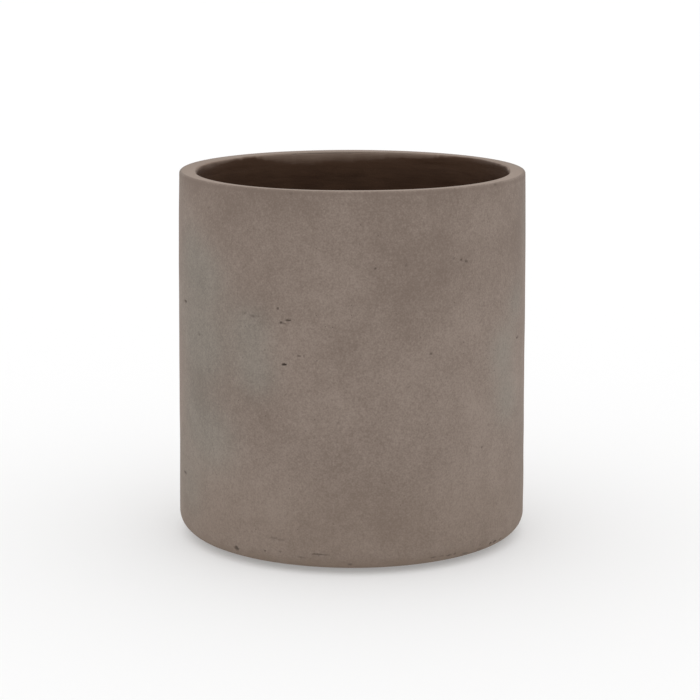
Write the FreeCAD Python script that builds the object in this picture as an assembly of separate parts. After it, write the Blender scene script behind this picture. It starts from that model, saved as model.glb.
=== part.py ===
import FreeCAD, Part
import math
import os

# A cast cement flower pot for the floor: a straight round shell with a drafted inside, a waterproof
# coat brushed over that inside, a drain closed by a lift-out rubber stopper, and four rubber feet.
# Sizes are in millimetres. The origin is the centre of the footprint on the floor, and +Z is up.

# Casting
POT_DIAMETER = 300.0
SHELL_HEIGHT = 312.0
RIM_WALL = 14.0
BASE_THICKNESS = 20.0
CORE_DRAFT_DEGREES = 1.0
RIM_OUTER_ROUND = 2.0
RIM_INNER_ROUND = 2.0
BASE_EDGE_ROUND = 16.0
FLOOR_COVE = 15.0
FLOOR_FALL = 3.0

# Drain through the base
DRAIN_DIAMETER = 25.0
DRAIN_DRAFT_DEGREES = 4.0
DRAIN_EDGE_ROUND = 1.2

# Sealing coat on the inside
COAT_THICKNESS = 0.8
COAT_BELOW_ROUND = 0.5
COAT_SETBACK = 1.0

# Rubber stopper
STOPPER_CLEARANCE = 0.3
STOPPER_RECESS = 2.5
STOPPER_TIP_ROUND = 1.0
FLANGE_OVERHANG = 8.0
FLANGE_THICKNESS = 3.5
FLANGE_ROUND = 1.4
SEAT_MARGIN = 4.0
HOLLOW_DIAMETER = 11.0
HOLLOW_DRAFT_DEGREES = 3.0
HOLLOW_ROUND = 1.5
STOPPER_WEB = 5.0
GRIP_LENGTH = 22.0
GRIP_THICKNESS = 6.0
GRIP_HEIGHT = 11.0
GRIP_TOP_ROUND = 6.0
GRIP_EDGE_ROUND = 1.6

# Rubber feet
FOOT_COUNT = 4
FOOT_DIAMETER = 34.0
FOOT_HEIGHT = 3.0
FOOT_INSET = 45.0
FOOT_DRAFT_DEGREES = 25.0
FOOT_EDGE_ROUND = 0.8
FIRST_FOOT_DEGREES = 45.0

# Heights and radii that follow from the sizes above
AXIS = FreeCAD.Vector(0, 0, 1)
ORIGIN = FreeCAD.Vector(0, 0, 0)
FULL_TURN = 360.0

pot_radius = POT_DIAMETER / 2
base_height = FOOT_HEIGHT
rim_height = base_height + SHELL_HEIGHT
core_slope = math.tan(math.radians(CORE_DRAFT_DEGREES))
drain_height = base_height + BASE_THICKNESS
drain_top_radius = DRAIN_DIAMETER / 2
drain_slope = math.tan(math.radians(DRAIN_DRAFT_DEGREES))
drain_bottom_radius = drain_top_radius - BASE_THICKNESS * drain_slope
coat_hole_radius = drain_top_radius + DRAIN_EDGE_ROUND + COAT_SETBACK
flange_radius = drain_top_radius + FLANGE_OVERHANG
seat_radius = flange_radius + SEAT_MARGIN
flange_height = drain_height + COAT_THICKNESS
floor_edge_height = drain_height + FLOOR_FALL


def inner_radius(height):
    """Radius of the drafted inside wall at a height."""
    return pot_radius - RIM_WALL - (rim_height - height) * core_slope


def rounded_outline(corners):
    """Closed face in the XZ plane through (radius, height, round) corners, each rounded by its own arc."""
    points = [FreeCAD.Vector(radius, 0, height) for radius, height, _ in corners]
    arrive = []
    leave = []
    arcs = []
    for index, corner in enumerate(points):
        rounding = corners[index][2]
        to_last = (points[index - 1] - corner).normalize()
        to_next = (points[(index + 1) % len(points)] - corner).normalize()
        half_angle = to_last.getAngle(to_next) / 2
        reach = rounding / math.tan(half_angle)
        arrive.append(corner + to_last * reach)
        leave.append(corner + to_next * reach)
        if rounding:
            middle_way = (to_last + to_next).normalize()
            crown = corner + middle_way * (rounding / math.sin(half_angle) - rounding)
            arcs.append(Part.Arc(arrive[-1], crown, leave[-1]).toShape())
        else:
            arcs.append(None)
    edges = []
    for index, arc in enumerate(arcs):
        edges.append(Part.LineSegment(leave[index - 1], arrive[index]).toShape())
        if arc:
            edges.append(arc)
    return Part.Face(Part.Wire(edges))


def turned(corners):
    """Solid of revolution about the pot's axis from a rounded outline."""
    return rounded_outline(corners).revolve(ORIGIN, AXIS, FULL_TURN)


def offset_chain(chain, distance):
    """The (radius, height) chain moved to its left by a distance, with mitred corners."""
    points = [FreeCAD.Vector(radius, 0, height) for radius, height in chain]
    normals = []
    for start, end in zip(points, points[1:]):
        along = (end - start).normalize()
        normals.append(FreeCAD.Vector(-along.z, 0, along.x))
    moved = []
    for index, place in enumerate(points):
        before = normals[max(index - 1, 0)]
        after = normals[min(index, len(normals) - 1)]
        shift = (before + after) * (distance / (1 + before.dot(after)))
        moved.append((place.x + shift.x, place.z + shift.z))
    return moved


def make_pot_shell():
    """Cast shell: straight outside, drafted inside, coved floor that falls to the tapered drain."""
    return turned([
        (drain_bottom_radius, base_height, DRAIN_EDGE_ROUND),
        (pot_radius, base_height, BASE_EDGE_ROUND),
        (pot_radius, rim_height, RIM_OUTER_ROUND),
        (inner_radius(rim_height), rim_height, RIM_INNER_ROUND),
        (inner_radius(floor_edge_height), floor_edge_height, FLOOR_COVE),
        (seat_radius, drain_height, 0),
        (drain_top_radius, drain_height, DRAIN_EDGE_ROUND),
    ])


def make_inner_seal_coat():
    """Waterproof skin on the inside wall, cove and floor, from just below the rim to the drain."""
    top_height = rim_height - RIM_INNER_ROUND - COAT_BELOW_ROUND
    bonded = [
        (inner_radius(top_height), top_height),
        (inner_radius(floor_edge_height), floor_edge_height),
        (seat_radius, drain_height),
        (coat_hole_radius, drain_height),
    ]
    wall_top, wall_foot, seat_edge, hole_edge = bonded
    wet_top, wet_foot, wet_seat, wet_hole = offset_chain(bonded, -COAT_THICKNESS)
    return turned([
        (*wall_top, 0),
        (*wall_foot, FLOOR_COVE),
        (*seat_edge, 0),
        (*hole_edge, 0),
        (*wet_hole, 0),
        (*wet_seat, 0),
        (*wet_foot, FLOOR_COVE - COAT_THICKNESS),
        (*wet_top, 0),
    ])


def make_grip():
    """Upright pinch grip moulded on the stopper: a round-topped rib with softened edges."""
    foot = flange_height + FLANGE_THICKNESS / 2
    top = flange_height + FLANGE_THICKNESS + GRIP_HEIGHT
    half_length = GRIP_LENGTH / 2
    outline = rounded_outline([
        (-half_length, foot, 0),
        (half_length, foot, 0),
        (half_length, top, GRIP_TOP_ROUND),
        (-half_length, top, GRIP_TOP_ROUND),
    ])
    outline.translate(FreeCAD.Vector(0, -GRIP_THICKNESS / 2, 0))
    rib = outline.extrude(FreeCAD.Vector(0, GRIP_THICKNESS, 0))
    softened = []
    for edge in rib.Edges:
        box = edge.BoundBox
        if box.YLength < GRIP_EDGE_ROUND and box.ZMax > flange_height + FLANGE_THICKNESS:
            softened.append(edge)
    return rib.makeFillet(GRIP_EDGE_ROUND, softened)


def make_drain_stopper():
    """Tapered rubber bung with a flange on the floor's seat, hollow below, and a pinch grip on top."""
    tip_height = base_height + STOPPER_RECESS
    seat_body_radius = drain_top_radius - STOPPER_CLEARANCE + COAT_THICKNESS * drain_slope
    tip_radius = seat_body_radius - (flange_height - tip_height) * drain_slope
    hollow_top = flange_height - STOPPER_WEB
    hollow_slope = math.tan(math.radians(HOLLOW_DRAFT_DEGREES))
    hollow_radius = HOLLOW_DIAMETER / 2
    hollow_top_radius = hollow_radius - (hollow_top - tip_height) * hollow_slope
    flange_top = flange_height + FLANGE_THICKNESS
    bung = turned([
        (0, hollow_top, 0),
        (hollow_top_radius, hollow_top, HOLLOW_ROUND),
        (hollow_radius, tip_height, 0),
        (tip_radius, tip_height, STOPPER_TIP_ROUND),
        (seat_body_radius, flange_height, 0),
        (flange_radius, flange_height, 0),
        (flange_radius, flange_top, FLANGE_ROUND),
        (0, flange_top, 0),
    ])
    return bung.fuse(make_grip()).removeSplitter()


def make_rubber_foot(degrees):
    """Low moulded disc stuck under the base, narrowing to the floor, at a bearing on the foot circle."""
    top_radius = FOOT_DIAMETER / 2
    floor_radius = top_radius - FOOT_HEIGHT * math.tan(math.radians(FOOT_DRAFT_DEGREES))
    foot = turned([
        (0, 0, 0),
        (floor_radius, 0, FOOT_EDGE_ROUND),
        (top_radius, base_height, 0),
        (0, base_height, 0),
    ])
    foot.translate(FreeCAD.Vector(pot_radius - FOOT_INSET, 0, 0))
    foot.rotate(ORIGIN, AXIS, degrees)
    return foot


def make_parts():
    """Every piece by its node's name."""
    parts = {
        "pot_shell": make_pot_shell(),
        "inner_seal_coat": make_inner_seal_coat(),
        "drain_stopper": make_drain_stopper(),
    }
    for index in range(FOOT_COUNT):
        bearing = FIRST_FOOT_DEGREES + index * FULL_TURN / FOOT_COUNT
        parts[f"rubber_foot_{index + 1}"] = make_rubber_foot(bearing)
    return parts


os.makedirs("parts", exist_ok=True)
for name, shape in make_parts().items():
    shape.exportStep(os.path.join("parts", f"{name}.step"))
    print(name, "valid", shape.isValid(), "solids", len(shape.Solids), "volume", round(shape.Volume, 1))
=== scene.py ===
# %% [markdown]
# # A cast cement flower pot
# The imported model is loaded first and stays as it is: it says how large each piece is and where it sits.
# Everything made below is fitted to it. The cement shell and the coat inside are rebuilt here as finer
# surfaces, because the real ones have air holes, chips and brushed edges that plain solids leave out.

# %% Load the frame
import math

import bmesh
import bpy
import numpy as np
from mathutils import Matrix, Vector


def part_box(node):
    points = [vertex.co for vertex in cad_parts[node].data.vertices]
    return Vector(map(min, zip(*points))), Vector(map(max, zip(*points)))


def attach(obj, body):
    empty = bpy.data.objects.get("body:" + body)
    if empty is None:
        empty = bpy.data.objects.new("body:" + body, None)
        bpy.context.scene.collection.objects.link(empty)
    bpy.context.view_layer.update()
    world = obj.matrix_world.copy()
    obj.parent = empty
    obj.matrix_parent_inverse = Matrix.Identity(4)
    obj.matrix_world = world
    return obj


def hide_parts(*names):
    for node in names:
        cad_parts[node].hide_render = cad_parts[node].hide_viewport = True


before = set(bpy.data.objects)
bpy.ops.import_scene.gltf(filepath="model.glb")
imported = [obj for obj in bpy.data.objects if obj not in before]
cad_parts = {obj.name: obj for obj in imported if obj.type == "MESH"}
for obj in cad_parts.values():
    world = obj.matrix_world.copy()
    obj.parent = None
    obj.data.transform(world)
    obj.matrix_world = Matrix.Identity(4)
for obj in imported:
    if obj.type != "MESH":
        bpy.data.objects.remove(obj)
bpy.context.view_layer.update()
MM = 0.001
print("frame:", sorted(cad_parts))

# %% [markdown]
# ## Camera
# The outline of the pot fixes the camera: the rim's ellipse gives how far it looks down, and the difference
# between that ellipse and the curve of the base gives how close it stands. The picture's centre lies below
# the lens's own axis, which keeps upright lines nearly parallel, so the sensor is shifted a little. The
# camera is made first because the marks on the cement are placed by looking through it.

# %% Place the camera
PICTURE_SIDE = 700
CAMERA_PLACE = Vector((-1.8, -1915.9, 548.4)) * MM
LOOK_DOWN_DEGREES = 9.763
ROLL_DEGREES = 0.117
LENS = 116.0
SENSOR = 36.0
SENSOR_SHIFT = -0.10

camera_data = bpy.data.cameras.new("camera")
camera_data.lens = LENS
camera_data.sensor_width = SENSOR
camera_data.shift_y = SENSOR_SHIFT
camera = bpy.data.objects.new("camera", camera_data)
camera_turn = Matrix.Rotation(math.radians(90 - LOOK_DOWN_DEGREES), 3, "X")
camera_turn = camera_turn @ Matrix.Rotation(math.radians(ROLL_DEGREES), 3, "Z")
camera.location = CAMERA_PLACE
camera.rotation_euler = camera_turn.to_euler()
bpy.context.scene.collection.objects.link(camera)
bpy.context.scene.camera = camera
print("camera:", [round(x, 3) for x in camera.location], "lens", LENS, "shift", SENSOR_SHIFT)

# %% [markdown]
# ## Lines of sight
# A mark that shows at some column and row of the picture lies on the line of sight through that pixel, so
# its place on the pot is where that line meets the round wall. It could be found by moving the mark and
# looking again, but the line and the circle give it at once, for all marks together.

# %% Follow lines of sight
def marks_on_wall(pixels, radius, far=False):
    """Bearing and height where lines of sight through (column, row) pixels meet an upright round wall.

    A pixel's offset from the picture's centre, plus the sensor's shift, gives the direction of its line.
    In plan the line meets a circle of that radius twice, by the quadratic formula: nearer first, then far.
    """
    pixels = np.asarray(pixels, dtype=float)
    across = (pixels[:, 0] / PICTURE_SIDE - 0.5) * SENSOR / LENS
    upward = (0.5 - pixels[:, 1] / PICTURE_SIDE + SENSOR_SHIFT) * SENSOR / LENS
    line = np.stack([across, upward, -np.ones_like(across)], axis=1) @ np.array(camera_turn).T
    place = np.array(CAMERA_PLACE)
    square = (line[:, :2] ** 2).sum(axis=1)
    half = line[:, :2] @ place[:2]
    root = np.sqrt(half**2 - square * (place[:2] @ place[:2] - radius**2))
    reach = (-half + (root if far else -root)) / square
    hit = place + reach[:, None] * line
    return np.arctan2(hit[:, 1], hit[:, 0]), hit[:, 2]


pixel_span = SENSOR / LENS / PICTURE_SIDE * CAMERA_PLACE.length
print("one pixel at the pot spans about", round(pixel_span / MM, 2), "mm")

# %% [markdown]
# ## The shell's outline
# The shell is cast in one piece and is round, so one outline turned about the axis makes all of it. The
# outline is a loop of straight runs with an arc at each corner: from the drain, round the base, up the
# wall, over the rim, down inside and back along the floor. It could be a stack of primitives, but one
# outline gives one closed skin with no seams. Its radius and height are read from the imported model.

# %% List the corners
RIM_WALL = 14.0 * MM
BASE_THICKNESS = 20.0 * MM
CORE_SLOPE = math.tan(math.radians(1.0))
BASE_EDGE_ROUND = 16.0 * MM
RIM_OUTER_ROUND = 2.0 * MM
RIM_INNER_ROUND = 1.2 * MM
FLOOR_COVE = 15.0 * MM
FLOOR_FALL = 3.0 * MM
SEAT_RADIUS = 24.5 * MM
DRAIN_RADIUS = 12.5 * MM
DRAIN_SLOPE = math.tan(math.radians(4.0))
DRAIN_EDGE_ROUND = 1.2 * MM

shell_low, shell_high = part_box("pot_shell")
pot_radius = shell_high.x
base_z = shell_low.z
rim_z = shell_high.z
drain_z = base_z + BASE_THICKNESS
floor_edge_z = drain_z + FLOOR_FALL


def inner_radius(height):
    """Radius of the inside wall, which narrows downwards by the core's slope."""
    return pot_radius - RIM_WALL - (rim_z - height) * CORE_SLOPE


# Each corner: radius, height and rounding.
shell_corners = [
    (DRAIN_RADIUS - BASE_THICKNESS * DRAIN_SLOPE, base_z, DRAIN_EDGE_ROUND),
    (pot_radius, base_z, BASE_EDGE_ROUND),
    (pot_radius, rim_z, RIM_OUTER_ROUND),
    (inner_radius(rim_z), rim_z, RIM_INNER_ROUND),
    (inner_radius(floor_edge_z), floor_edge_z, FLOOR_COVE),
    (SEAT_RADIUS, drain_z, 0),
    (DRAIN_RADIUS, drain_z, DRAIN_EDGE_ROUND),
]
print("shell:", len(shell_corners), "corners, radius", round(pot_radius, 4), "rim at", round(rim_z, 4))

# %% [markdown]
# ## Rounded corners
# No edge of a casting is sharp. A Bevel modifier could round them once the shell is turned, but an arc in
# the outline gives each edge its own radius and leaves the rows free. The outline is then walked in short
# even steps, so that a place on it can be found by the distance travelled.

# %% Round the corners
LOOP_SPACING = 0.25 * MM
SAME_PLACE = 1e-9


def unit(vectors):
    """The same directions with length 1: each vector divided by its length."""
    return vectors / np.linalg.norm(vectors, axis=-1, keepdims=True)


def rounded_outline(corners, arc_steps=25):
    """A closed loop of (radius, height) points through (radius, height, round) corners.

    An arc's centre lies on the corner's middle line, round / sin(half angle) from the corner, and the arc
    swings from one touching point to the other, each round / tan(half angle) from the corner.
    """
    corners = np.array(corners)
    place, rounding = corners[:, :2], corners[:, 2:]
    to_last = unit(np.roll(place, 1, axis=0) - place)
    to_next = unit(np.roll(place, -1, axis=0) - place)
    half = np.arccos((to_last * to_next).sum(axis=1, keepdims=True)) / 2
    centre = place + unit(to_last + to_next) * rounding / np.sin(half)
    first = place + to_last * rounding / np.tan(half) - centre
    last = place + to_next * rounding / np.tan(half) - centre
    swing = (np.pi - 2 * half)[:, None]
    t = np.linspace(0, 1, arc_steps)[None, :, None]
    arc = (np.sin((1 - t) * swing) * first[:, None] + np.sin(t * swing) * last[:, None]) / np.sin(swing)
    loop = (centre[:, None] + arc).reshape(-1, 2)
    moved = np.linalg.norm(loop - np.roll(loop, 1, axis=0), axis=1) > SAME_PLACE
    return loop[moved]


def respaced(loop, spacing):
    """The closed loop with new points whose distance apart is the spacing given for each old point.

    Each old step counts as its length / spacing, and the new points lie at equal steps of that count.
    """
    closed = np.vstack([loop, loop[:1]])
    step = np.linalg.norm(np.diff(closed, axis=0), axis=1)
    travelled = np.concatenate([[0], np.cumsum(step)])
    tally = np.concatenate([[0], np.cumsum(step / spacing)])
    count = round(tally[-1])
    at = np.interp(np.arange(count) * tally[-1] / count, tally, travelled)
    radius = np.interp(at, travelled, closed[:, 0])
    height = np.interp(at, travelled, closed[:, 1])
    return np.stack([radius, height], axis=1)


shell_loop = respaced(rounded_outline(shell_corners), LOOP_SPACING)
print("outline:", len(shell_loop), "points")

# %% [markdown]
# ## Rows of the skin
# The rows of the skin lie close together where the light picks out the form, at the rim and the base's
# edge, and wide apart where the coat will hide them. Even rows would be simpler, but most of them would lie
# where nothing changes. In the cove the rows stay close, or the flat faces between them would stand out
# through the coat.

# %% Space the rows
# Distance between rows, in millimetres.
WALL_ROWS = 4.0
COATED_ROWS = 10.0
COVE_ROWS = 2.2
BASE_EDGE_ROWS = 2.2
RIM_ROWS = 1.2
RIM_EDGE_ROWS = 0.6
DRAIN_ROWS = 1.5
# How far from its place each of these spacings reaches.
COVE_REACH = 20 * MM
BASE_EDGE_REACH = 24 * MM
RIM_REACH = 14 * MM
RIM_EDGE_REACH = 6 * MM
DRAIN_REACH = 3 * MM


def row_spacing(loop):
    """Distance between rows at each point of the loop. Where two places overlap, the later one holds."""
    radius, height = loop.T
    outer = radius > pot_radius - BASE_EDGE_ROUND
    spacing = np.where(outer, WALL_ROWS, COATED_ROWS)
    beside_cove = (height > drain_z) & (height < floor_edge_z + COVE_REACH)
    spacing[beside_cove & (radius > inner_radius(floor_edge_z) - COVE_REACH)] = COVE_ROWS
    spacing[outer & (height < base_z + BASE_EDGE_REACH)] = BASE_EDGE_ROWS
    spacing[height > rim_z - RIM_REACH] = RIM_ROWS
    spacing[height > rim_z - RIM_EDGE_REACH] = RIM_EDGE_ROWS
    spacing[radius < DRAIN_RADIUS + DRAIN_REACH] = DRAIN_ROWS
    return spacing * MM


shell_rows = respaced(shell_loop, row_spacing(shell_loop))
print("rows of the shell:", len(shell_rows))

# %% [markdown]
# ## A casting that isn't quite true
# The mould gives a little, so the wall draws in by about 2 mm towards the rim and wanders by a tenth of a
# millimetre. The rim was rubbed down by hand, so it falls a little to the inside, most at the left and less
# at the front's middle, and the core sat a little to the right. A noise function could give the wander, but
# a sum of waves works on whole arrays and meets itself where the turn closes.

# %% Let the mould give
RIM_DRAW_IN = 1.3 * MM
RIM_PINCH = 1.0 * MM
PINCH_POWER = 6
RIM_FALL = 0.75 * MM
RIM_FALL_UNEVEN = 0.6
RIM_FALL_BEARING = math.radians(-135)
RIM_FLAT = 0.44 * MM
RIM_FLAT_BEARING = math.radians(-88)
RIM_FLAT_SPREAD = math.radians(22)
CORE_RIGHT = 0.4 * MM
CORE_STIFFER = 0.2
TRUE_MIDDLE = 0.4
WALL_WANDER = 0.08 * MM
WANDER_INWARD = 2
WANDER_WAVES = (40 * MM, 220 * MM)
WANDER_SEED = 31


def waves(bearing, height, lengths, seed, count=48):
    """A smooth random field of spread 1 on the pot: a sum of waves of random length, direction and phase.

    Each wave is cos(n * bearing + m * height + phase), with a whole number n of waves round the pot, and
    its length lies between the two lengths given.
    """
    draw = np.random.default_rng(seed)
    size = np.exp(draw.uniform(*np.log(lengths), count))
    lean = draw.uniform(0, np.pi, count)
    phase = draw.uniform(0, 2 * np.pi, count)
    turns = np.round(2 * np.pi * pot_radius * np.cos(lean) / size)
    climb = 2 * np.pi * np.sin(lean) / size
    total = np.zeros_like(bearing)
    for n, m, p in zip(turns, climb, phase):
        total += np.cos(n * bearing + m * height + p)
    return total / math.sqrt(count / 2)


def ease(share):
    """Goes from 0 to 1 with no jolt at either end, as 3 t squared - 2 t cubed."""
    t = np.clip(share, 0, 1)
    return t * t * (3 - 2 * t)


def bearing_of(points):
    """Angle of each point about the pot's axis."""
    return np.arctan2(points[..., 1], points[..., 0])


def cast_unevenly(points):
    """Points moved as the mould, the core and the rubbing down left them.

    With up from 0 at the base to 1 at the rim, the wall draws in by draw * up + pinch * up to the sixth, a
    little less on the core's side. With inward from 0 at the outer face to 1 at the inner one, the core's
    offset moves a point by up * inward of itself, and the rim falls by the fall at that bearing * inward *
    up to the sixth. The fall is one wave round the pot, less a bell-shaped stretch at the front. Near the
    axis nothing moves in or across, so that the drain stays true.
    """
    bearing = bearing_of(points)
    radius = np.hypot(points[..., 0], points[..., 1])
    up = np.clip((points[..., 2] - base_z) / (rim_z - base_z), 0, 1)
    inward = np.clip((pot_radius - radius) / RIM_WALL, 0, 1)
    free = ease(radius / pot_radius / TRUE_MIDDLE - 1)
    wander = WALL_WANDER * (waves(bearing, points[..., 2], WANDER_WAVES, WANDER_SEED) - WANDER_INWARD)
    out = free * (wander - RIM_DRAW_IN * up - RIM_PINCH * up**PINCH_POWER) * (1 - CORE_STIFFER * inward)
    flat = RIM_FLAT * np.exp(-(((bearing - RIM_FLAT_BEARING) / RIM_FLAT_SPREAD) ** 2))
    fall = RIM_FALL * (1 + RIM_FALL_UNEVEN * np.cos(bearing - RIM_FALL_BEARING)) - flat
    across = out * np.cos(bearing) + free * up * inward * CORE_RIGHT
    return points + np.stack([across, out * np.sin(bearing), -fall * inward * up**PINCH_POWER], axis=-1)


print("casting: wall drawn in by", round((RIM_DRAW_IN + RIM_PINCH) / MM, 1), "mm at the rim")

# %% [markdown]
# ## The shell's skin
# The rows are carried round the axis as a grid of points, with a quad between each four neighbours. A Screw
# modifier could turn the outline too, but a grid worked out as arrays closes on itself with no doubled
# points. The skin is still true here, as the marks are placed on a true wall. It is cast unevenly later.

# %% Turn the outline
SHELL_COLUMNS = 256


def turned(rows, columns):
    """Grid of points, one row per (radius, height), one column per bearing.

    A point is (radius * cos(bearing), radius * sin(bearing), height).
    """
    bearing = np.arange(columns) * 2 * np.pi / columns
    radius, height = rows[:, :1], rows[:, 1:]
    place = (radius * np.cos(bearing), radius * np.sin(bearing), height)
    return np.stack(np.broadcast_arrays(*place), axis=-1)


def ring_mesh(name, points):
    """Mesh of a grid that closes on itself both ways, as a ring does, with quads between its points."""
    rows, columns = points.shape[:2]
    index = np.pad(np.arange(rows * columns).reshape(rows, columns), ((0, 1), (0, 1)), mode="wrap")
    quads = np.stack([index[:-1, :-1], index[:-1, 1:], index[1:, 1:], index[1:, :-1]], axis=-1)
    mesh = bpy.data.meshes.new(name)
    mesh.from_pydata(points.reshape(-1, 3), [], quads.reshape(-1, 4))
    return mesh


shell_mesh = ring_mesh("pot_shell_cast", turned(shell_rows, SHELL_COLUMNS))
print("shell grid:", len(shell_rows), "rows by", SHELL_COLUMNS, "columns")

# %% [markdown]
# ## Air holes and chips
# Cement keeps small air bubbles against the mould, and they open as short flat slits. The base's edge has
# small chips and scrapes. A bump in the material would not change their edges, so they are pressed into the
# mesh. Marks on the side that the photograph shows are given as column and row there.

# %% List the marks
# Each mark: column and row in the photograph, then length round the pot, height and depth in millimetres.
AIR_HOLES = (
    (280.0, 323.0, 2.8, 1.9, 0.9), (283.2, 323.8, 4.2, 1.2, 0.5), (287.6, 320.7, 4.6, 1.3, 1.0),
    (277.3, 308.6, 2.3, 2.2, 0.7), (283.2, 364.8, 4.3, 1.9, 2.2), (298.3, 356.5, 3.6, 1.6, 0.6),
    (292.8, 355.1, 2.2, 1.6, 0.3), (303.2, 356.2, 1.8, 1.6, 0.4), (252.2, 316.2, 5.0, 2.6, 0.4),
    (244.4, 312.8, 2.8, 2.4, 0.3), (257.4, 316.4, 2.8, 2.2, 0.3), (375.5, 268.7, 2.1, 1.5, 0.7),
    (406.6, 266.0, 2.8, 1.9, 0.35), (462.4, 260.0, 2.4, 1.6, 0.7), (467.6, 261.5, 3.3, 2.0, 0.65),
    (454.8, 258.9, 2.8, 1.9, 0.4), (431.6, 353.9, 2.1, 2.1, 0.65), (482.4, 447.5, 2.1, 1.8, 0.5),
    (518.2, 337.5, 5.6, 2.2, 0.8), (184.4, 301.4, 7.5, 2.2, 1.0), (198.2, 334.5, 4.0, 2.8, 0.4),
    (184.8, 472.5, 8.0, 2.6, 0.7), (206.7, 207.5, 2.4, 2.2, 0.4), (338.2, 423.2, 2.6, 2.2, 0.3),
)
CHIPS = (
    (235.2, 548.8, 5.0, 4.6, 0.85), (273.4, 538.4, 7.6, 2.6, 0.3), (280.8, 540.2, 6.6, 2.4, 0.26),
    (318.0, 554.6, 12.0, 1.6, 0.6), (326.0, 555.2, 7.0, 1.2, 0.3), (350.0, 566.0, 4.4, 2.4, 0.5),
    (264.5, 551.2, 2.0, 1.9, 0.6), (279.6, 551.6, 3.2, 1.7, 0.4), (301.0, 557.6, 8.0, 1.4, 0.3),
    (451.4, 556.4, 5.0, 2.0, 0.6), (456.6, 554.9, 3.4, 2.0, 0.5), (443.2, 556.9, 5.0, 1.8, 0.35),
    (435.3, 558.6, 6.0, 1.8, 0.45), (493.0, 544.0, 3.0, 2.5, 1.0), (497.2, 542.2, 4.6, 2.3, 1.0),
    (502.8, 539.4, 3.6, 2.0, 0.8), (481.0, 545.6, 1.9, 1.5, 0.45), (483.4, 550.2, 9.0, 1.6, 0.5),
    (468.0, 555.0, 10.0, 1.6, 0.5), (290.0, 194.2, 3.6, 2.2, 0.2), (498.0, 185.0, 4.6, 2.4, 0.35),
)

seen = np.array(AIR_HOLES + CHIPS)
seen_marks = np.column_stack([*marks_on_wall(seen[:, :2], pot_radius), seen[:, 2:] * MM])
print("marks placed by eye:", len(seen_marks))

# %% [markdown]
# ## Marks on the far side
# The photograph doesn't show the back, but a casting has the same kind of marks all round. Placing them by
# hand would tend to look arranged, so they are drawn at random, within ranges like those of the seen ones
# and from fixed seeds, so that every run gives the same pot.

# %% Draw the hidden marks
HIDDEN_HOLES = 34
HOLE_LENGTHS = (1.4, 4.8)
HOLE_DEPTHS = (0.3, 1.3)
HOLES_ABOVE_BASE = 24 * MM
HOLES_BELOW_RIM = 12 * MM
HOLE_SEED = 11
HIDDEN_CHIPS = 16
CHIP_LENGTHS = (2.0, 8.0)
CHIP_DEPTHS = (0.3, 1.0)
CHIP_BAND = (3 * MM, 13 * MM)
CHIP_SEED = 12
MARK_TALLNESS = (1.2, 2.1)
FRONT_ARC = math.radians(78)


def drawn_marks(count, heights, lengths, depths, seed):
    """Marks for the side that faces away: bearing, height, length, tallness and depth of each."""
    draw = np.random.default_rng(seed)
    bearing = -np.pi / 2 + FRONT_ARC + draw.uniform(0, 2 * np.pi - 2 * FRONT_ARC, count)
    height = draw.uniform(*heights, count)
    length = draw.uniform(*lengths, count)
    tall = np.minimum(length, draw.uniform(*MARK_TALLNESS, count))
    depth = draw.uniform(*depths, count)
    return np.column_stack([bearing, height, length * MM, tall * MM, depth * MM])


hole_heights = (base_z + HOLES_ABOVE_BASE, rim_z - HOLES_BELOW_RIM)
chip_heights = (base_z + CHIP_BAND[0], base_z + CHIP_BAND[1])
hole_marks = drawn_marks(HIDDEN_HOLES, hole_heights, HOLE_LENGTHS, HOLE_DEPTHS, HOLE_SEED)
chip_marks = drawn_marks(HIDDEN_CHIPS, chip_heights, CHIP_LENGTHS, CHIP_DEPTHS, CHIP_SEED)
marks = np.vstack([seen_marks, hole_marks, chip_marks])
print("marks drawn:", len(marks) - len(seen_marks))

# %% [markdown]
# ## Finer faces at the marks
# A mark is about as large as one face of the skin, so its shape needs smaller ones. Dividing them all would
# give millions, so only the outer faces near a mark are split, each into a fine grid.

# %% Divide the faces
DIVISIONS = 5
MARGIN_AROUND = 3.2 * MM
MARGIN_ABOVE = 2.2 * MM


def read(collection, field, width=3):
    """One field of a mesh's elements as an array."""
    values = np.empty(len(collection) * width)
    collection.foreach_get(field, values)
    return values.reshape(-1, width)


def offsets_from(bearing, height, points):
    """Distances of points from a place on the wall, round the pot and up it."""
    turn = np.mod(bearing_of(points) - bearing + np.pi, 2 * np.pi) - np.pi
    return turn * pot_radius, points[:, 2] - height


def is_outer(points):
    """True for points on the outside of the shell."""
    return np.hypot(points[:, 0], points[:, 1]) > pot_radius - BASE_EDGE_ROUND


def divide_near(mesh, marks):
    """Splits the outer faces that lie near a mark into a fine grid, and says how many were split."""
    centre = read(mesh.polygons, "center")
    near = np.zeros(len(centre), dtype=bool)
    for bearing, height, length, tall in marks[:, :4]:
        around, above = offsets_from(bearing, height, centre)
        beside = np.abs(around) < length / 2 + MARGIN_AROUND
        near |= beside & (np.abs(above) < tall / 2 + MARGIN_ABOVE)
    work = bmesh.new()
    work.from_mesh(mesh)
    work.faces.ensure_lookup_table()
    chosen = [work.faces[number] for number in np.flatnonzero(near & is_outer(centre))]
    edges = {edge for face in chosen for edge in face.edges}
    bmesh.ops.subdivide_edges(work, edges=list(edges), cuts=DIVISIONS, use_grid_fill=True)
    work.to_mesh(mesh)
    work.free()
    return len(chosen)


print("faces divided:", divide_near(shell_mesh, marks))
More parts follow.
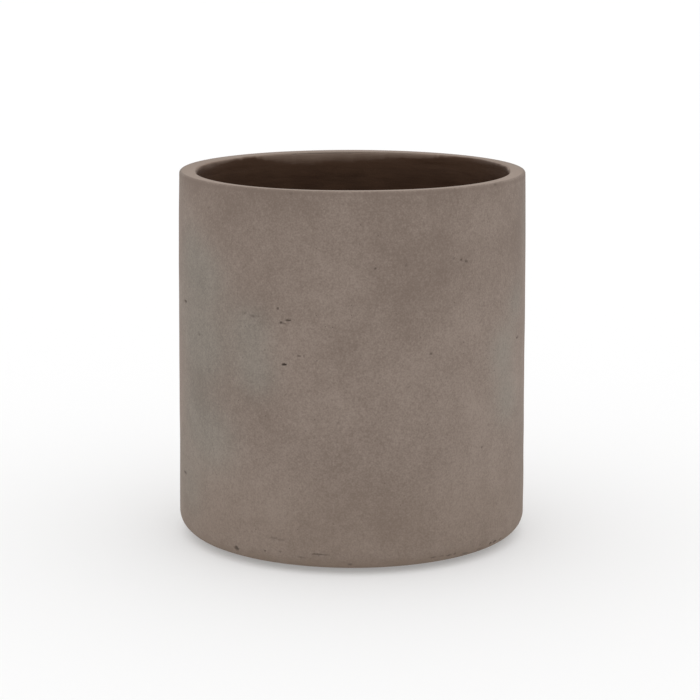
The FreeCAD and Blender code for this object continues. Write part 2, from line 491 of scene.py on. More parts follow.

# %% [markdown]
# ## Pressing the marks in
# Every point near a mark sinks along the surface normal, most in the mark's middle. A Displace modifier
# could do it from a texture, but here each pit keeps its own length, depth and ragged edge. How deep a
# point lies is remembered for the colour, which darkens the pits with painted shade and dirt. Then the
# whole skin is cast unevenly.

# %% Press the marks in
PIT_RAGGED = 0.16
RAGGED_WAVES = (1.5 * MM, 4 * MM)
RAGGED_SEED = 21
PIT_RISE = 1.25
DARKEST_DEPTH = 1.0 * MM


def pits(marks, points):
    """How far each point sinks, and how strongly painted shade and dirt darken it there, from 0 to 1.

    A pit is an ellipse with a ragged edge. With d the distance from its middle in units of its half length
    and half height, it sinks by its depth times 1.25 - d squared, kept between 0 and 1.
    """
    ragged = 1 + PIT_RAGGED * waves(bearing_of(points), points[:, 2], RAGGED_WAVES, RAGGED_SEED)
    sunk = np.zeros(len(points))
    shade = np.zeros(len(points))
    for bearing, height, length, tall, depth in marks:
        around, above = offsets_from(bearing, height, points)
        distance = np.hypot(around / (length / 2), above / (tall / 2)) * ragged
        share = np.clip(PIT_RISE - distance**2, 0, 1)
        sunk = np.maximum(sunk, share * depth)
        shade = np.maximum(shade, share * min(depth / DARKEST_DEPTH, 1.0))
    return sunk * is_outer(points), shade * is_outer(points)


true_points = read(shell_mesh.vertices, "co")
sunk, pit_shade_and_dirt = pits(marks, true_points)
pressed = true_points - read(shell_mesh.vertices, "normal") * sunk[:, None]
shell_mesh.vertices.foreach_set("co", cast_unevenly(pressed).ravel())
shell_triangles = sum(len(face.vertices) - 2 for face in shell_mesh.polygons)
print("pits: deepest", round(sunk.max() / MM, 2), "mm, triangles of the shell", shell_triangles)

# %% [markdown]
# ## What the cement's colour follows
# Pale and deep patches, the greyer bloom, the painted shade under the rim and the rim's top, pale from
# sanding and from painted light from above, aren't shapes, but they belong to places on the pot. They could
# be painted by noise alone, which would put them anywhere. Here they are worked out once per point and kept
# on the mesh as named attributes, which the material reads.

# %% List the patches
# Each patch: column and row in the photograph, and its spread in millimetres.
PALE_PATCHES = (
    (207, 262, 26), (218, 466, 34), (290, 233, 11), (338, 283, 26), (463, 330, 24), (482, 464, 30),
    (480, 222, 24), (505, 396, 28), (326, 424, 22), (516, 352, 22), (450, 520, 30), (270, 510, 26),
    (468, 405, 20), (272, 350, 24), (415, 372, 22), (514, 392, 16), (502, 350, 24), (251, 216, 12),
    (478, 408, 16), (335, 210, 14), (520, 384, 14),
)
DEEP_PATCHES = (
    (230, 214, 24), (308, 207, 24), (392, 238, 28), (449, 243, 30), (432, 276, 24), (392, 292, 26),
    (346, 351, 20), (236, 408, 26), (270, 424, 22), (330, 450, 26), (392, 500, 30), (258, 300, 16),
    (412, 330, 24), (356, 505, 34), (516, 232, 22), (518, 250, 18), (194, 278, 14), (200, 392, 26),
    (522, 462, 20), (275, 204, 18), (245, 202, 22), (184, 177, 12), (191, 179, 12), (200, 182, 11),
    (187, 176, 9), (194, 178, 9), (182, 176, 9), (212, 222, 18), (523, 215, 16), (523, 235, 14),
    (522, 278, 18), (523, 440, 16), (522, 492, 20), (523, 505, 12), (201, 392, 16), (480, 538, 20),
    (440, 540, 18), (400, 533, 18), (300, 537, 16), (523, 236, 12), (523, 430, 14), (523, 456, 14),
    (522, 488, 12), (522, 503, 14), (521, 514, 12), (185, 510, 14), (187, 517, 14), (184, 500, 10),
)
GREY_PATCHES = (
    (186, 250, 34), (186, 330, 38), (188, 410, 38), (206, 280, 30), (208, 350, 30), (214, 440, 34),
    (250, 330, 24), (256, 376, 22), (190, 490, 28), (504, 350, 24), (508, 400, 26), (519, 300, 22),
)
print("patches:", len(PALE_PATCHES), "pale,", len(DEEP_PATCHES), "deep,", len(GREY_PATCHES), "grey")

# %% [markdown]
# ## Patches on the mesh
# Each patch is a soft round spot, and their sum makes uneven clouds. Towards the sides, where the
# photograph shows less and less, the spots give way to clouds made of waves. The wall's colour deepens
# towards the rim, and a band just under the rim is darkened more by painted shade. The level top of the rim
# is paler, partly from sanding and partly from painted light from above, but not its outer shoulder, and
# less so at the back.

# %% Lay out the patches
SIDES_FROM = math.radians(60)
SIDES_BLEND = math.radians(30)
CLOUD_TONE = 0.45
CLOUD_WAVES = (45 * MM, 130 * MM)
CLOUD_SEED = 41
GREY_MIDDLE = 0.35
GREY_SPREAD = 0.3
GREY_WAVES = (80 * MM, 200 * MM)
GREY_SEED = 42
UPPER_DEEPER = 0.54
UPPER_FROM = 190 * MM
UPPER_BLEND = 60 * MM
UNDER_RIM_SHADE = 0.7
UNDER_RIM_DROP = 22.4 * MM
UNDER_RIM_BLEND = 14 * MM
LEVEL_DROP = 1.17 * MM
LEVEL_BLEND = 0.9 * MM
SHOULDER = 1.2 * MM
SHOULDER_BLEND = 2.0 * MM
SANDED_AND_TOP_LIT_LESS = 0.4
SANDED_AND_TOP_LIT_BLEND = math.radians(50)


def soft_patches(patches, points):
    """Sum of soft round spots on the wall, each falling off as exp(-(distance / spread) squared)."""
    total = np.zeros(len(points))
    patches = np.array(patches, dtype=float)
    for bearing, height, spread in zip(*marks_on_wall(patches[:, :2], pot_radius), patches[:, 2] * MM):
        around, above = offsets_from(bearing, height, points)
        total += np.exp(-(around**2 + above**2) / spread**2)
    return total


def rise(value, start, width):
    """Eases from 0 at a start to 1 a width further on."""
    return ease((value - start) / width)


def keep(mesh, name, values):
    """Stores one number per point on the mesh under a name."""
    mesh.attributes.new(name, "FLOAT", "POINT").data.foreach_set("value", values.astype(np.float32))


true_bearing = bearing_of(true_points)
true_radius = np.hypot(true_points[:, 0], true_points[:, 1])
true_height = true_points[:, 2]
from_front = np.abs(np.mod(true_bearing + 1.5 * np.pi, 2 * np.pi) - np.pi)
away = rise(from_front, SIDES_FROM, SIDES_BLEND)
clouds = CLOUD_TONE * waves(true_bearing, true_height, CLOUD_WAVES, CLOUD_SEED)
grey_clouds = GREY_MIDDLE + GREY_SPREAD * waves(true_bearing, true_height, GREY_WAVES, GREY_SEED)
tone = soft_patches(PALE_PATCHES, true_points) - soft_patches(DEEP_PATCHES, true_points)
bloom = soft_patches(GREY_PATCHES, true_points)
upper = UPPER_DEEPER * rise(true_height, UPPER_FROM, UPPER_BLEND)
# The band just under the rim is painted shade.
under_rim_shade = UNDER_RIM_SHADE * rise(true_height, rim_z - UNDER_RIM_DROP, UNDER_RIM_BLEND)
level = rise(true_height, rim_z - LEVEL_DROP, LEVEL_BLEND)
level = level * rise(pot_radius - true_radius, SHOULDER, SHOULDER_BLEND)
keep(shell_mesh, "tone", tone * (1 - away) + clouds * away - upper - under_rim_shade)
keep(shell_mesh, "bloom", bloom * (1 - away) + np.clip(grey_clouds, 0, 1) * away)
# The rim top's paleness is partly sanding and partly painted light from above, fainter away from the front.
keep(shell_mesh, "sanded_and_top_lit", level * (1.0 - SANDED_AND_TOP_LIT_LESS * rise(from_front, SIDES_FROM, SANDED_AND_TOP_LIT_BLEND)))
keep(shell_mesh, "pit_shade_and_dirt", pit_shade_and_dirt)
print("tone from", round(tone.min(), 2), "to", round(tone.max(), 2))

# %% [markdown]
# ## The coat's edge
# The inside is brushed with a dark waterproof coat. Its upper edge wanders up and down, because it was
# brushed by hand, and at the right of the back it runs over onto the rim. Along the back it follows the
# photograph, by marks that are joined up, and elsewhere a fixed draw.

# %% List the edge's marks
# Each mark: the column in the photograph along the back of the rim, how far below the rim's top the coat
# starts there, how far it takes to cover, and how far above it the cement is stained, all in millimetres.
# Where the brush ran over onto the rim, the start is less than nothing and lies that far out on the level.
BACK_EDGE = (
    (195, 0.1, 3.6, 1.6), (202, -0.2, 7.0, 2.4), (216, -0.3, 7.0, 2.6), (232, -0.1, 4.0, 2.6),
    (246, -0.2, 3.6, 2.4), (260, 0.3, 5.0, 1.6), (276, 0.5, 9.4, 0.8), (292, 1.4, 11.0, 0.6),
    (312, 1.7, 12.0, 0.6), (334, 1.8, 8.6, 0.8), (352, 1.5, 10.2, 1.0), (380, 1.4, 7.2, 1.2),
    (396, 1.0, 6.4, 1.0), (412, 1.5, 4.6, 0.8), (426, 0.1, 5.0, 3.0), (440, 0.1, 4.2, 2.4),
    (456, -1.2, 4.8, 4.0), (470, -2.1, 4.0, 4.5), (486, -2.6, 4.4, 4.5), (500, -0.7, 3.4, 4.5),
    (508, -0.2, 2.8, 2.4),
)
BACK_ROW = 158
DRAWN_EDGE_MARKS = 26
DRAWN_STARTS = (0.4, 3.0)
DRAWN_FEATHERS = (2.6, 8.8)
DRAWN_STAINS = (0.6, 2.6)
DRAWN_GAP = 0.2
EDGE_SEED = 51

back_marks = np.array(BACK_EDGE)
back_pixels = np.column_stack([back_marks[:, 0], np.full(len(back_marks), BACK_ROW)])
back_bearing, _ = marks_on_wall(back_pixels, inner_radius(rim_z), far=True)
drawn_from = back_bearing.max() + DRAWN_GAP
drawn_to = back_bearing.min() + 2 * np.pi - DRAWN_GAP
edge_bearing = np.concatenate([back_bearing, np.linspace(drawn_from, drawn_to, DRAWN_EDGE_MARKS)])
edge_draw = np.random.default_rng(EDGE_SEED)


def with_drawn(column, limits):
    """One column of the back's marks, with drawn values for the rest of the edge after it, in metres."""
    drawn = edge_draw.uniform(*limits, DRAWN_EDGE_MARKS)
    return np.concatenate([back_marks[:, column], drawn]) * MM


edge_drop = with_drawn(1, DRAWN_STARTS)
edge_feather = with_drawn(2, DRAWN_FEATHERS)
edge_stain = with_drawn(3, DRAWN_STAINS)


def round_the_pot(bearing, values):
    """Values of the edge's marks at a bearing, joined by straight lines round the pot."""
    return np.interp(bearing, edge_bearing, values, period=2 * np.pi)


print("coat edge:", len(edge_bearing), "marks")

# %% [markdown]
# ## The way down the inside
# The coat follows the shell's own outline: from the rim's level top over its inner edge, down the wall,
# round the cove and along the floor to the drain. A place on it is given by the distance travelled, because
# a height alone can't tell places on a level stretch apart. Above the coat's edge the cement is stained
# where the brush ran out.

# %% Travel down the inside
LEVEL_REACH = 3.0 * MM
LEVEL_TOLERANCE = 1e-7
UPPER_WALL = 50 * MM
COAT_SETBACK = 1.0 * MM
LOWEST_EDGE = 9 * MM
BRISTLE_REACH = 0.14 * MM
BRISTLE_WAVES = (6 * MM, 20 * MM)
BRISTLE_SEED = 52

rim_corner = np.flatnonzero(shell_loop[:, 1] > rim_z - LEVEL_TOLERANCE)[-1]
level_steps = round(LEVEL_REACH / LOOP_SPACING)
coat_hole_radius = DRAIN_RADIUS + DRAIN_EDGE_ROUND + COAT_SETBACK
inside_end = rim_corner + np.flatnonzero(shell_loop[rim_corner:, 0] < coat_hole_radius)[0]
inside_path = shell_loop[rim_corner - level_steps : inside_end + 1]
inside_step = np.linalg.norm(np.diff(inside_path, axis=0), axis=1)
inside_travel = np.concatenate([[0], np.cumsum(inside_step)])
corner_radius = shell_loop[rim_corner, 0]
corner_travel = inside_travel[level_steps]
falling = slice(level_steps, level_steps + round(UPPER_WALL / LOOP_SPACING))


def travel_at_drop(drop):
    """How far along the inside path the surface has dropped by so much, or less on the level top."""
    return np.interp(drop, rim_z - inside_path[falling, 1], inside_travel[falling]) + np.minimum(drop, 0)


def edge_travel(bearing):
    """How far down the inside the coat starts at a bearing: the marks joined up, roughened by bristles."""
    bristles = BRISTLE_REACH * waves(bearing, 0 * bearing, BRISTLE_WAVES, BRISTLE_SEED)
    return travel_at_drop(np.clip(round_the_pot(bearing, edge_drop) + bristles, -LEVEL_REACH, LOWEST_EDGE))


inner_side = (true_height > floor_edge_z) & (true_radius < pot_radius - RIM_OUTER_ROUND)
on_level = np.maximum(0, true_radius - corner_radius)
above_edge = edge_travel(true_bearing) - travel_at_drop(rim_z - true_height) + on_level
keep(shell_mesh, "stain", inner_side * ease(1 - above_edge / round_the_pot(true_bearing, edge_stain)))
print("inside path:", round(inside_travel[-1], 3), "m")

# %% [markdown]
# ## The coat
# The coat is a thin skin on the inside wall, the cove and the floor, with a hole round the drain. Each
# point is found by travelling down the inside path from the edge and stepping off the surface by the coat's
# thickness there. The thickness starts near nothing at the brushed edge, so the coat has no step. Solidify
# could thicken a sheet by a vertex group, but here both faces are worked out and joined in one ring, so the
# thickness can follow a formula. The rows lie closest at the edge and in the cove.

# %% Space the coat's rows
COAT_COLUMNS = 360
COAT_EDGE_ROWS = 24
# Stretches of rows: distance below the coat's edge where each starts and ends, and its number of rows.
COAT_WALL = (14 * MM, 260 * MM, 64)
COAT_COVE = (263 * MM, 300 * MM, 24)
COAT_FLOOR = 304 * MM
COAT_FLOOR_ROWS = 28

coat_bearing = (np.arange(COAT_COLUMNS) * 2 * np.pi / COAT_COLUMNS)[None, :]
edge = edge_travel(coat_bearing)
longest = inside_travel[-1] - edge.min()
stretches = (
    np.linspace(0, COAT_WALL[0], COAT_EDGE_ROWS, endpoint=False),
    np.linspace(*COAT_WALL),
    np.linspace(*COAT_COVE),
    np.linspace(COAT_FLOOR, longest, COAT_FLOOR_ROWS),
)
down = np.concatenate(stretches)[:, None] / longest
wet_travel = edge + down * (inside_travel[-1] - edge)
wet_bearing = np.broadcast_to(coat_bearing, wet_travel.shape)
print("coat's outer face:", len(wet_travel), "rows by", COAT_COLUMNS, "columns")

# %% [markdown]
# ## Brushing it on
# The film reaches its full thickness a little below the edge, less a shallow relief of brush strokes drawn
# out round the pot, and it is smooth by the drain, where the stopper seals. Where it is thin the cement
# shows through, so how well it covers is kept for the colour, and so is how far it has settled below the
# edge. The face against the cement needs fewer rows, since nobody sees it.

# %% Brush on the coat
COAT_THICKNESS = 0.8 * MM
THIN_EDGE = 0.04
COVER_POWER = 1.4
BRUSH_RELIEF = 0.10 * MM
STROKE_DRAW = 8
STROKE_SPREAD = 0.5
STROKE_WAVES = (50 * MM, 180 * MM)
STROKE_SEED = 53
SMOOTH_SEAT = 30 * MM
SETTLED_AT = 26 * MM
BONDED_STEP = 3

inside_heading = unit(np.gradient(inside_path, axis=0))
inside_facing = np.column_stack([inside_heading[:, 1], -inside_heading[:, 0]])


def off_surface(travel, bearing, lift):
    """Points at a travel down the inside path, lifted off the shell's surface along its facing."""
    radius = np.interp(travel, inside_travel, inside_path[:, 0])
    height = np.interp(travel, inside_travel, inside_path[:, 1])
    radius = radius + lift * np.interp(travel, inside_travel, inside_facing[:, 0])
    height = height + lift * np.interp(travel, inside_travel, inside_facing[:, 1])
    return np.stack([radius * np.cos(bearing), radius * np.sin(bearing), height], axis=-1)


feather = round_the_pot(coat_bearing, edge_feather)
cover = 1 - np.clip(1 - (wet_travel - edge) / feather, 0, 1) ** COVER_POWER
settled = ease((wet_travel - edge) / SETTLED_AT)
film = ease((wet_travel - np.maximum(edge, corner_travel)) / feather)
to_seat = ease((inside_travel[-1] - wet_travel) / SMOOTH_SEAT)
strokes = waves(wet_bearing, STROKE_DRAW * wet_travel, STROKE_WAVES, STROKE_SEED)
lift = COAT_THICKNESS * (THIN_EDGE + (1 - THIN_EDGE) * film)
lift = lift - BRUSH_RELIEF * film * to_seat * np.clip(1 + STROKE_SPREAD * strokes, 0, 2)
wet = off_surface(wet_travel, wet_bearing, lift)
below_edge = np.arange(len(wet_travel) - 1, COAT_EDGE_ROWS, -BONDED_STEP)
bonded_rows = np.concatenate([below_edge, [COAT_EDGE_ROWS, COAT_EDGE_ROWS // 2, 0]])
bonded = off_surface(wet_travel[bonded_rows], wet_bearing[bonded_rows], 0.0)
coat_points = cast_unevenly(np.concatenate([wet, bonded]))
coat_mesh = ring_mesh("inner_seal_coat_brushed", coat_points)
keep(coat_mesh, "cover", np.concatenate([cover, cover[bonded_rows]]).ravel())
keep(coat_mesh, "settled", np.concatenate([settled, settled[bonded_rows]]).ravel())
print("coat:", len(coat_points), "rows by", COAT_COLUMNS, "columns, faces", len(coat_mesh.polygons))

# %% [markdown]
# ## Finishes as expressions
# A material is a sheet of nodes. They could be placed and linked one by one, but a small class round a
# node's output lets the sums between nodes be written as ordinary Python: adding two makes a Math node.

# %% Wrap an output
class Output:
    """A node's output that Python operators combine, each adding one Math node."""

    def __init__(self, finish, socket):
        self.finish = finish
        self.socket = socket

    def math(self, operation, first, second):
        """A Math node that works out an operation on two values."""
        return self.finish.node("ShaderNodeMath", {"operation": operation}, {0: first, 1: second})

    def __add__(self, other):
        return self.math("ADD", self, other)

    def __sub__(self, other):
        return self.math("SUBTRACT", self, other)

    def __rsub__(self, other):
        return self.math("SUBTRACT", other, self)

    def __mul__(self, other):
        return self.math("MULTIPLY", self, other)

    __radd__ = __add__
    __rmul__ = __mul__


print("outputs can be added, subtracted and multiplied")

# %% [markdown]
# ## A material and its nodes
# Between them the finishes need noise, scattered points, ramps, mixes of two colours and a bump. Each has a
# short method here, and all of them add their node through one method, which sets a node's own settings
# before its sockets.

# %% Hold a finish
class Finish:
    """A material with its Principled shader, and the one method that adds any other node."""

    def __init__(self, name, **constants):
        self.material = bpy.data.materials.new(name)
        self.material.use_nodes = True
        self.tree = self.material.node_tree
        self.shader = self.tree.nodes["Principled BSDF"]
        for socket, value in constants.items():
            self.shader.inputs[socket.replace("_", " ")].default_value = value
        self.place = self.node("ShaderNodeTexCoord", {}, {}, "Object")

    def node(self, kind, settings, inputs, output=0):
        """Adds a node: its settings first, then the value or link of each socket.

        Gives one of its outputs.
        """
        made = self.tree.nodes.new(kind)
        for name, value in settings.items():
            setattr(made, name, value)
        for name, value in inputs.items():
            if isinstance(value, Output):
                self.tree.links.new(value.socket, made.inputs[name])
            else:
                made.inputs[name].default_value = value
        return Output(self, made.outputs[output])

    def feed(self, socket, value):
        """Links an output to the shader."""
        self.tree.links.new(value.socket, self.shader.inputs[socket])

    def noise(self, size, detail=2.0, roughness=0.5, where=None):
        """Cloudy noise from 0 to 1 with features about as large as size."""
        inputs = {"Vector": where or self.place, "Scale": 1 / size}
        inputs.update({"Detail": detail, "Roughness": roughness})
        return self.node("ShaderNodeTexNoise", {}, inputs)

    def cells(self, size, output):
        """Scattered points about size apart: the distance to the nearest, or that point's own colour."""
        return self.node("ShaderNodeTexVoronoi", {}, {"Vector": self.place, "Scale": 1 / size}, output)

    def stored(self, name):
        """A number kept on the mesh."""
        return self.node("ShaderNodeAttribute", {"attribute_name": name}, {}, "Fac")

    def part_of(self, vector, axis):
        """One number of a vector or colour."""
        return self.node("ShaderNodeSeparateXYZ", {}, {0: vector}, axis)

    def ramp(self, value, low, high, to_low=0.0, to_high=1.0):
        """Eases from to_low to to_high as the value goes from low to high, which may lie below low."""
        inputs = {"Value": value, "From Min": low, "From Max": high, "To Min": to_low, "To Max": to_high}
        return self.node("ShaderNodeMapRange", {"interpolation_type": "SMOOTHSTEP"}, inputs)

    def mix(self, share, first, second):
        """Colour between two colours by a share."""
        return self.node("ShaderNodeMix", {"data_type": "RGBA"}, {0: share, 6: first, 7: second}, 2)

    def stretched(self, x, y, z):
        """The place scaled by a factor on each axis, so that a pattern draws out along the small ones."""
        return self.node("ShaderNodeMapping", {}, {"Vector": self.place, "Scale": (x, y, z)})

    def bump(self, height, distance):
        """Feeds the normal from a height field whose full range is the distance."""
        self.feed("Normal", self.node("ShaderNodeBump", {}, {"Height": height, "Distance": distance}))


print("finish tools ready")

# %% [markdown]
# ## Cement
# The pot is tinted cement with fine sand. Its colour drifts in clouds a few centimetres wide, with a greyer
# bloom where lime has come to the surface, a browner band where the base has been rubbed, and a paler rim,
# partly from sanding it flat and partly painted light from above, with a thin line of painted shadow under
# it. On top of that lies the sand: grains about a millimetre across, in colour and relief, with a scatter
# of pinholes whose dark insides are painted shade. Painted shade and dirt also darken the air holes and
# chips.
# A single noise would give one size of speckle, so three sizes are added up.

# %% Mix the cement
CEMENT_DEEP = (0.190, 0.144, 0.117, 1)
CEMENT_PALE = (0.300, 0.241, 0.203, 1)
BLOOM_DEEP = (0.172, 0.160, 0.137, 1)
BLOOM_PALE = (0.272, 0.252, 0.215, 1)
CEMENT_BASE = (0.208, 0.153, 0.112, 1)
CEMENT_RIM_SANDED_AND_TOP_LIT = (0.284, 0.222, 0.182, 1)
PIT_SHADE_AND_DIRT = (0.055, 0.040, 0.031, 1)
STAIN_TINT = (0.215, 0.155, 0.118, 1)
MOTTLE_SIZE = 16 * MM
FLECK_SIZE = 3.2 * MM
GRAIN_SIZE = 1.4 * MM
MOTTLE_SHARE = 0.65
FLECK_SHARE = 0.70
GRAIN_SHARE = 1.30
TONE_SHARE = 0.15
BLOOM_SHARE = 0.6
LOW_WALL = (110 * MM, 30 * MM)
LOW_WALL_SHARE = 0.2
RUBBED_BAND = (base_z + 15 * MM, base_z + 1 * MM)
RUBBED_SHARE = 0.5
RUBBED_WANDER = 12 * MM
LIP_SHADOW_TOP = (0.6 * MM, 1.8 * MM)
LIP_SHADOW_FOOT = (5.0 * MM, 3.0 * MM)
LIP_SHADOW_SHARE = 0.42
STAIN_SHARE = 0.85
PIT_SHADE_AND_DIRT_SHARE = 0.85
PINHOLE_SPACING = 7 * MM
PINHOLE_EDGE = (0.075, 0.05)
PINHOLES_KEPT = (0.6, 0.7)
PINHOLE_SHADE_SHARE = 0.55
SAND_RELIEF = 0.22 * MM


def make_cement():
    """Tinted sandy cement: colours laid over one another, each by its own share at that place."""
    cement = Finish("cement", Roughness=0.9, Specular_IOR_Level=0.35, Diffuse_Roughness=0.4)
    mottle = cement.noise(MOTTLE_SIZE, detail=3.0, roughness=0.55)
    flecks = cement.noise(FLECK_SIZE, detail=2.0)
    grain = cement.noise(GRAIN_SIZE, detail=1.0)
    sand = MOTTLE_SHARE * (mottle - 0.5) + FLECK_SHARE * (flecks - 0.5) + GRAIN_SHARE * (grain - 0.5)
    paleness = cement.ramp(0.5 + TONE_SHARE * cement.stored("tone") + sand, -0.2, 1.2)
    colour = cement.mix(paleness, CEMENT_DEEP, CEMENT_PALE)
    bloom = cement.mix(paleness, BLOOM_DEEP, BLOOM_PALE)
    colour = cement.mix(BLOOM_SHARE * cement.ramp(cement.stored("bloom"), 0.0, 1.4), colour, bloom)
    height = cement.part_of(cement.place, "Z")
    rubbed = cement.ramp(height + RUBBED_WANDER * (mottle - 0.5), *RUBBED_BAND)
    browner = LOW_WALL_SHARE * cement.ramp(height, *LOW_WALL) + RUBBED_SHARE * rubbed
    colour = cement.mix(browner, colour, CEMENT_BASE)
    below_rim = rim_z - height
    # A thin line of painted shadow just under the rim's edge.
    lip_shadow = cement.ramp(below_rim, *LIP_SHADOW_TOP) * cement.ramp(below_rim, *LIP_SHADOW_FOOT)
    colour = cement.mix(LIP_SHADOW_SHARE * lip_shadow, colour, CEMENT_DEEP)
    # The level rim top: partly sanding, partly painted light from above.
    colour = cement.mix(cement.stored("sanded_and_top_lit"), colour, CEMENT_RIM_SANDED_AND_TOP_LIT)
    colour = cement.mix(STAIN_SHARE * cement.stored("stain"), colour, STAIN_TINT)
    pinhole = cement.ramp(cement.cells(PINHOLE_SPACING, "Distance"), *PINHOLE_EDGE)
    picked = cement.ramp(cement.part_of(cement.cells(PINHOLE_SPACING, "Color"), "X"), *PINHOLES_KEPT)
    # Painted shade and dirt darken the air holes and chips, most where they are deepest.
    colour = cement.mix(PIT_SHADE_AND_DIRT_SHARE * cement.stored("pit_shade_and_dirt"), colour, PIT_SHADE_AND_DIRT)
    # The pinholes are only bumped, and their dark insides are painted shade.
    colour = cement.mix(PINHOLE_SHADE_SHARE * pinhole * picked, colour, PIT_SHADE_AND_DIRT)
    cement.feed("Base Color", colour)
    cement.feed("Roughness", cement.ramp(grain, 0.3, 0.7, 0.84, 0.96))
    cement.bump(grain * 0.6 + flecks * 0.4 - pinhole * picked, SAND_RELIEF)
    return cement.material


cement_finish = make_cement()
print("cement:", len(cement_finish.node_tree.nodes), "nodes")

# %% [markdown]
# ## The shell joins the model
# A finished mesh becomes a piece of the model: it rides on a body, so that it moves with it, and it stands
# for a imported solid, which is then hidden. The solid could stay under it, but the two would show through
# each other.

# %% Add the shell
def add_piece(name, mesh, material, body, slot, *nodes):
    """Links a finished mesh as a piece that rides on a body and stands for CAD nodes."""
    mesh.materials.append(material)
    mesh.shade_smooth()
    piece = bpy.data.objects.new(name, mesh)
    bpy.context.scene.collection.objects.link(piece)
    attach(piece, body)
    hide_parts(*nodes)
    return piece


shell = add_piece("pot_shell_cast", shell_mesh, cement_finish, "pot", "cement", "pot_shell")
print("shell:", len(shell.data.polygons), "faces")

# %% [markdown]
# ## Sealing coat
# The coat dries to a dark brown, nearly matt film. The brush went round the pot and leaves level streaks in
# it. It is thin at the edge, where the cement shows through, and a little lighter there than where it has
# settled further down. Streaks could follow a map wrapped round the pot, but shrinking the noise's scale
# across the pot, and not up it, draws them out with no seam.

# %% Mix the coat
COAT_DARK = (0.0415, 0.0188, 0.0090, 1)
COAT_LIGHT = (0.066, 0.0330, 0.0176, 1)
COAT_THIN = (0.245, 0.177, 0.138, 1)
STREAK_SIZE = 3.0 * MM
STREAK_STRETCH = (0.12, 0.12, 1)
BLOT_SIZE = 24 * MM
COAT_GRAIN_SIZE = 1.1 * MM
EDGE_LIGHTNESS = 0.95
SETTLED_DARKER = 0.5
STREAK_SHARE = 0.9
BLOT_SHARE = 0.8
COVER_SHARE = 1.12
COVER_PATCHY = 0.35
BRUSHED_RELIEF = 0.25 * MM


def make_seal_coat():
    """Dark brushed sealer: dark to light by streaks and blots, over bare cement where it doesn't cover."""
    coat = Finish("seal_coat", Roughness=0.6, Specular_IOR_Level=0.2)
    streaks = coat.noise(STREAK_SIZE, detail=3.0, roughness=0.6, where=coat.stretched(*STREAK_STRETCH))
    blots = coat.noise(BLOT_SIZE, detail=2.0)
    grain = coat.noise(COAT_GRAIN_SIZE, detail=1.0)
    lightness = EDGE_LIGHTNESS - SETTLED_DARKER * coat.stored("settled")
    lightness = lightness + STREAK_SHARE * (streaks - 0.5) + BLOT_SHARE * (blots - 0.5)
    colour = coat.mix(coat.ramp(lightness, 0.1, 0.9), COAT_DARK, COAT_LIGHT)
    covered = COVER_SHARE * coat.stored("cover")
    covered = covered + COVER_PATCHY * (streaks - 0.5) + COVER_PATCHY * (blots - 0.5)
    colour = coat.mix(covered, COAT_THIN, colour)
    coat.feed("Base Color", colour)
    coat.feed("Roughness", coat.ramp(streaks, 0.3, 0.7, 0.5, 0.72))
    coat.bump(0.7 * streaks + 0.3 * grain, BRUSHED_RELIEF)
    return coat.material


seal_coat = make_seal_coat()
coat = add_piece("inner_seal_coat_brushed", coat_mesh, seal_coat, "pot", "seal_coat", "inner_seal_coat")
print("coat:", len(coat.data.polygons), "faces")

# %% [markdown]
# ## Rubber
# The stopper and the feet are moulded rubber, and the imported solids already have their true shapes, so
# these nodes stay and only get a finish: near black, greyed by dust in clouds, with a fine moulded grain.
# They could be rebuilt as the shell was, but there would be nothing to add to the solids.

# %% Mix the rubber
STOPPER_DEEP = (0.020, 0.019, 0.018, 1)
STOPPER_DUSTY = (0.060, 0.055, 0.050, 1)
FOOT_DEEP = (0.017, 0.016, 0.016, 1)
FOOT_DUSTY = (0.048, 0.044, 0.041, 1)
DUST_SIZE = 9 * MM
RUBBER_GRAIN_SIZE = 0.5 * MM
RUBBER_RELIEF = 0.05 * MM


def make_rubber(name, deep, dusty):
    """Matt moulded rubber, from its deep to its dusty colour by clouds of dust."""
    rubber = Finish(name, Roughness=0.7, Specular_IOR_Level=0.4)
    dust = rubber.noise(DUST_SIZE, detail=4.0, roughness=0.6)
    grain = rubber.noise(RUBBER_GRAIN_SIZE, detail=1.0)
    colour = rubber.mix(rubber.ramp(dust + 0.3 * (grain - 0.5), 0.42, 0.75), deep, dusty)
    rubber.feed("Base Color", colour)
    rubber.feed("Roughness", rubber.ramp(dust, 0.3, 0.7, 0.55, 0.8))
    rubber.bump(grain, RUBBER_RELIEF)
    return rubber.material


def refinish(node, material):
    """Gives a CAD node a better material."""
    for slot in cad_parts[node].material_slots:
        slot.material = material


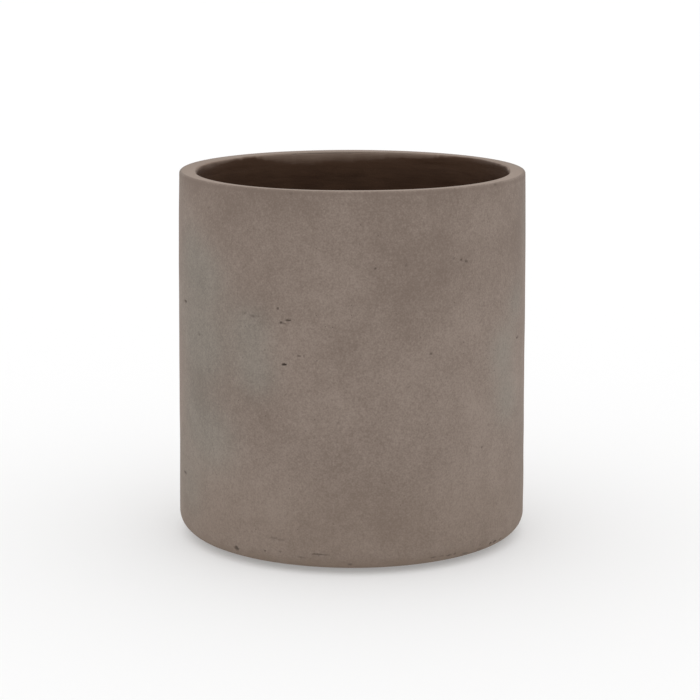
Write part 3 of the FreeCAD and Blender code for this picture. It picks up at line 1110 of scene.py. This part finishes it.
refinish("drain_stopper", make_rubber("stopper_rubber", STOPPER_DEEP, STOPPER_DUSTY))
foot_rubber = make_rubber("foot_rubber", FOOT_DEEP, FOOT_DUSTY)
foot_nodes = sorted(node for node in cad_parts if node.startswith("rubber_foot"))
for node in foot_nodes:
    refinish(node, foot_rubber)
print("rubber on drain_stopper and", foot_nodes)

# %% [markdown]
# ## Floor and light
# The pot stands on a pale floor that fills the picture, under an even white sky, as in a light tent. A few
# lamps would do too, but they would leave highlights and hard shadows that the photograph doesn't have. A
# very wide sun straight above makes level faces, such as the rim and the floor, a little brighter than the
# wall. The floor glows a little itself, as a light table does, which keeps the base's round edge from going
# dark.

# %% Light the pot
SKY_STRENGTH = 0.90
SUN_STRENGTH = 0.8
SUN_WIDTH_DEGREES = 120
FLOOR_RADIUS = 60.0
FLOOR_SIDES = 64
FLOOR_COLOUR = (0.62, 0.62, 0.62, 1)
FLOOR_GLOW = 0.27

world = bpy.data.worlds.new("light_tent")
world.use_nodes = True
world.node_tree.nodes["Background"].inputs["Color"].default_value = (1, 1, 1, 1)
world.node_tree.nodes["Background"].inputs["Strength"].default_value = SKY_STRENGTH
bpy.context.scene.world = world

sun_data = bpy.data.lights.new("overhead", "SUN")
sun_data.energy = SUN_STRENGTH
sun_data.angle = math.radians(SUN_WIDTH_DEGREES)
sun = bpy.data.objects.new("overhead", sun_data)
bpy.context.scene.collection.objects.link(sun)

floor_turn = np.linspace(0, 2 * np.pi, FLOOR_SIDES, endpoint=False)
floor_rim = np.stack([np.cos(floor_turn), np.sin(floor_turn), 0 * floor_turn], axis=1) * FLOOR_RADIUS
floor_mesh = bpy.data.meshes.new("floor")
floor_mesh.from_pydata(floor_rim, [], [range(FLOOR_SIDES)])
floor_finish = Finish("floor", Roughness=0.9, Base_Color=FLOOR_COLOUR, Emission_Strength=FLOOR_GLOW)
floor_mesh.materials.append(floor_finish.material)
floor = bpy.data.objects.new("floor", floor_mesh)
bpy.context.scene.collection.objects.link(floor)

bpy.context.scene.view_settings.view_transform = "Standard"
print("lit: sky", SKY_STRENGTH, "sun", SUN_STRENGTH)
